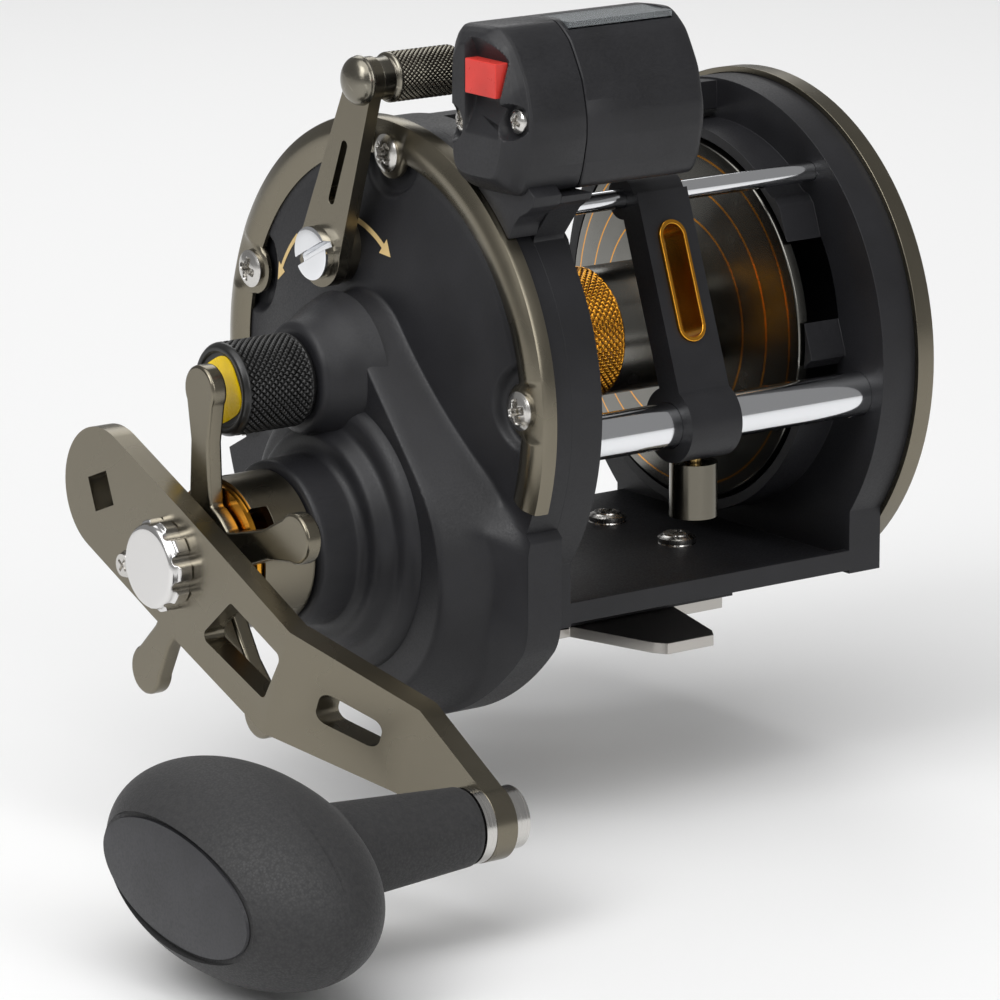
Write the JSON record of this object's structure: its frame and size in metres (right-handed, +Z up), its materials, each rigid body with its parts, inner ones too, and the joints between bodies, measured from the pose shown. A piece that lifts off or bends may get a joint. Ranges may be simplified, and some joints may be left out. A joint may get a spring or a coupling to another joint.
{
  "type": "trolling reel",
  "caption": "Conventional level-wind trolling reel with star drag, offset handle arm with egg knob, line counter and free-spool lever.",
  "frame": {"origin": "centre of the bottom face of the reel foot, where it lies on the rod seat", "axes": "+Z up from the rod, X along the spool axis with the handle at -X, the line leaves towards -Y"},
  "size_m": [0.1852, 0.1494, 0.1374],
  "materials": {
    "grained_plastic": "fine grained moulded graphite-filled nylon, matt",
    "counter_plastic": "fine grained moulded plastic, matt",
    "ring_anodised": "champagne-grey anodised aluminium, satin",
    "arm_anodised": "champagne-grey anodised aluminium, satin",
    "gold_anodised": "orange-gold anodised, bright",
    "black_anodised": "black anodised, knurled",
    "polished_steel": "polished stainless steel",
    "screw_steel": "bright stainless steel",
    "nut_steel": "brushed face, nickel plated",
    "foot_steel": "satin stainless sheet",
    "shaft_steel": "ground steel",
    "gear_brass": "machined",
    "gear_nylon": "moulded acetal",
    "carbon_discs": "woven carbon fibre drag disc",
    "spool_graphite": "dark polished anodised with gold lines",
    "knob_foam": "closed-cell foam, fine pebbled",
    "button_red": "moulded",
    "window_clear": "clear moulded lens",
    "wheel_white": "moulded digit wheels"
  },
  "bodies": {
    "root": {"frame": "grained_plastic", "reel_foot": "foot_steel", "foot_screws": "screw_steel", "right_side_plate": "grained_plastic", "right_plate_ring": "ring_anodised", "ring_screws": "screw_steel", "bridge_plate": "shaft_steel", "left_side_plate": "grained_plastic", "left_plate_ring": "ring_anodised", "guide_bar": "polished_steel", "worm_tube": "polished_steel", "worm_bushings": "gear_brass", "counter_housing": "counter_plastic", "counter_cap": "counter_plastic", "counter_window": "window_clear", "counter_screws": "screw_steel", "counter_spindle": "shaft_steel", "roller_clutch": "shaft_steel", "yoke_springs": "shaft_steel", "spool_bearings": "shaft_steel"},
    "crank": {"main_shaft": "shaft_steel", "main_gear": "gear_brass", "drag_plates": "shaft_steel", "drag_discs": "carbon_discs", "ratchet_wheel": "shaft_steel", "drag_spacer": "gold_anodised", "star_sleeve": "arm_anodised", "crank_arm": "arm_anodised", "handle_nut": "nut_steel", "nut_lock_screw": "screw_steel", "knob_stud": "polished_steel"},
    "knob": {"knob": "knob_foam"},
    "star": {"star_wheel": "arm_anodised"},
    "dog": {"ratchet_dog": "shaft_steel"},
    "spool": {"spool": "spool_graphite", "spool_band": "gold_anodised", "spool_shaft": "shaft_steel", "spool_gear": "gear_brass", "click_wheel": "shaft_steel"},
    "yoke": {"yoke": "shaft_steel"},
    "pinion": {"pinion": "gear_brass"},
    "idler": {"idler_gear": "gear_nylon"},
    "worm": {"worm_shaft": "shaft_steel", "worm_gear": "gear_brass"},
    "counter_lower": {"counter_gear_lower": "gear_nylon"},
    "counter_upper": {"counter_gear_upper": "gear_nylon"},
    "units": {"units_wheel": "wheel_white"},
    "tens": {"tens_wheel": "wheel_white"},
    "hundreds": {"hundreds_wheel": "wheel_white"},
    "guide": {"line_guide": "grained_plastic", "guide_eye": "gold_anodised", "pawl": "gear_brass", "pawl_cap": "ring_anodised"},
    "lever": {"lever_arm": "arm_anodised", "lever_grip": "arm_anodised", "lever_screw": "polished_steel", "lever_cam": "shaft_steel"},
    "tension": {"tension_knob": "black_anodised"},
    "reset": {"reset_button": "button_red"},
    "click": {"click_button": "grained_plastic"}
  },
  "joints": [
    {"name": "crank_spin", "type": "hinge", "parent": "root", "child": "crank", "pos_m": [0, -0.0037, 0.023], "axis": [1, 0, 0], "continuous": true},
    {"name": "knob_spin", "type": "hinge", "parent": "crank", "child": "knob", "pos_m": [0, -0.07418, -0.0075], "axis": [1, 0, 0], "continuous": true},
    {"name": "star_turn", "type": "hinge", "parent": "crank", "child": "star", "pos_m": [0, -0.0037, 0.023], "axis": [1, 0, 0], "range_deg": [-180, 180]},
    {"name": "dog_swing", "type": "hinge", "parent": "root", "child": "dog", "pos_m": [0, -0.0192, 0.026], "axis": [1, 0, 0], "range_deg": [-15, 0]},
    {"name": "spool_spin", "type": "hinge", "parent": "root", "child": "spool", "pos_m": [0, 0, 0.0502], "axis": [1, 0, 0], "continuous": true},
    {"name": "yoke_slide", "type": "slide", "parent": "root", "child": "yoke", "axis": [1, 0, 0], "range_m": [-0.0022, 0]},
    {"name": "pinion_spin", "type": "hinge", "parent": "yoke", "child": "pinion", "pos_m": [0, 0, 0.0502], "axis": [1, 0, 0], "continuous": true},
    {"name": "idler_spin", "type": "hinge", "parent": "root", "child": "idler", "pos_m": [0, -0.01916, 0.05138], "axis": [1, 0, 0], "continuous": true},
    {"name": "worm_spin", "type": "hinge", "parent": "root", "child": "worm", "pos_m": [0, -0.038, 0.0421], "axis": [1, 0, 0], "continuous": true},
    {"name": "counter_lower_spin", "type": "hinge", "parent": "root", "child": "counter_lower", "pos_m": [0, -0.01852, 0.07538], "axis": [1, 0, 0], "continuous": true},
    {"name": "counter_upper_spin", "type": "hinge", "parent": "root", "child": "counter_upper", "pos_m": [0, -0.029, 0.08693], "axis": [1, 0, 0], "continuous": true},
    {"name": "units_spin", "type": "hinge", "parent": "root", "child": "units", "pos_m": [0, -0.0322, 0.0985], "axis": [1, 0, 0], "continuous": true},
    {"name": "tens_spin", "type": "hinge", "parent": "root", "child": "tens", "pos_m": [0, -0.0322, 0.0985], "axis": [1, 0, 0], "continuous": true},
    {"name": "hundreds_spin", "type": "hinge", "parent": "root", "child": "hundreds", "pos_m": [0, -0.0322, 0.0985], "axis": [1, 0, 0], "continuous": true},
    {"name": "guide_slide", "type": "slide", "parent": "root", "child": "guide", "axis": [1, 0, 0], "range_m": [-0.0154, 0.0266]},
    {"name": "lever_swing", "type": "hinge", "parent": "root", "child": "lever", "pos_m": [0, 0.008, 0.0693], "axis": [1, 0, 0], "range_deg": [-42, 0]},
    {"name": "tension_turn", "type": "hinge", "parent": "root", "child": "tension", "pos_m": [0, 0, 0.0502], "axis": [1, 0, 0], "range_deg": [-180, 180]},
    {"name": "reset_press", "type": "slide", "parent": "root", "child": "reset", "axis": [1, 0, 0], "range_m": [0, 0.0015], "stiffness_N_per_m": 300},
    {"name": "click_slide", "type": "slide", "parent": "root", "child": "click", "axis": [0, 0, 1], "range_m": [0, 0.004]}
  ],
  "couplings": [
    {"joint": "spool_spin", "follows": "crank_spin", "ratio": -4.9091},
    {"joint": "pinion_spin", "follows": "crank_spin", "ratio": -4.9091},
    {"joint": "idler_spin", "follows": "crank_spin", "ratio": 0.90909},
    {"joint": "worm_spin", "follows": "crank_spin", "ratio": -3.0682},
    {"joint": "counter_lower_spin", "follows": "crank_spin", "ratio": -1.8881},
    {"joint": "counter_upper_spin", "follows": "crank_spin", "ratio": 1.8881},
    {"joint": "units_spin", "follows": "crank_spin", "ratio": -3.5065},
    {"joint": "tens_spin", "follows": "crank_spin", "ratio": -0.35065},
    {"joint": "hundreds_spin", "follows": "crank_spin", "ratio": -0.035065},
    {"joint": "yoke_slide", "follows": "lever_swing", "m_per_rad": 0.0030012}
  ]
}
